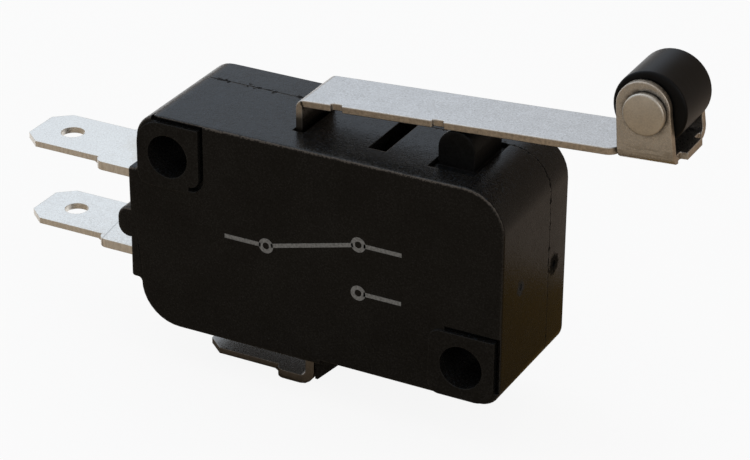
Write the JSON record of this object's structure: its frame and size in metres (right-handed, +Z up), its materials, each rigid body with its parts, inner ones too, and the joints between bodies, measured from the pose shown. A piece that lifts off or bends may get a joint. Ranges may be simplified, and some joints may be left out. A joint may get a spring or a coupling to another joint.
{
  "type": "limit switch",
  "caption": "Snap-action limit switch: flat black case with holes on opposite corners, a hinged metal lever that ends in a roller, a plunger under the lever and blade terminals.",
  "frame": {"origin": "middle of the flat rear mounting face, midway between the two mounting holes", "axes": "+X along the case towards the roller, +Y out of the rear face, +Z up towards the lever"},
  "size_m": [0.0495, 0.0103, 0.0282],
  "materials": {
    "housing": "fine moulded grain",
    "rear_cover": "fine moulded grain",
    "plunger": "fine moulded grain",
    "roller": "fine moulded grain",
    "lever": "nickel plate",
    "roller_pin": "nickel plate",
    "nc_terminal": "tin plate",
    "no_terminal": "tin plate",
    "common_terminal": "tin plate",
    "nc_contact": "silver alloy",
    "no_contact": "silver alloy",
    "moving_contact": "silver alloy",
    "contact_blade": "spring bronze",
    "actuating_arm": "plain stamped",
    "snap_spring": "spring wire"
  },
  "bodies": {
    "case": {"housing": "housing", "rear_cover": "rear_cover", "nc_terminal": "nc_terminal", "no_terminal": "no_terminal", "common_terminal": "common_terminal", "nc_contact": "nc_contact", "no_contact": "no_contact", "snap_spring": "snap_spring"},
    "lever": {"lever": "lever", "roller_pin": "roller_pin"},
    "roller": {"roller": "roller"},
    "plunger": {"plunger": "plunger"},
    "blade": {"contact_blade": "contact_blade", "moving_contact": "moving_contact"},
    "arm": {"actuating_arm": "actuating_arm"}
  },
  "joints": [
    {"name": "lever_hinge", "type": "hinge", "parent": "case", "child": "lever", "pos_m": [-0.00255, -0.00507, 0.0066], "axis": [0, 1, 0], "range_deg": [0, 9], "stiffness_Nm_per_rad": 0.12, "springref_deg": -0.11},
    {"name": "roller_spin", "type": "hinge", "parent": "lever", "child": "roller", "pos_m": [0.02212, -0.00507, 0.01472], "axis": [0, 1, 0], "continuous": true},
    {"name": "plunger_slide", "type": "slide", "parent": "case", "child": "plunger", "axis": [0, 0, -1], "range_m": [0, 0.00185]},
    {"name": "arm_pivot", "type": "hinge", "parent": "case", "child": "arm", "pos_m": [-0.001, -0.00507, 0.00115], "axis": [0, 1, 0], "range_deg": [0, 10.75], "deforming": ["snap_spring"]},
    {"name": "blade_pivot", "type": "hinge", "parent": "case", "child": "blade", "pos_m": [-0.0018, -0.00507, 0.00053], "axis": [0, 1, 0], "range_deg": [-5.7, 0], "deforming": ["snap_spring"]}
  ],
  "couplings": [
    {"joint": "plunger_slide", "follows": "lever_hinge", "m_per_rad": 0.0116},
    {"joint": "arm_pivot", "follows": "lever_hinge", "ratio": 1.19},
    {"joint": "blade_pivot", "follows": "lever_hinge", "ratio": -0.63}
  ]
}
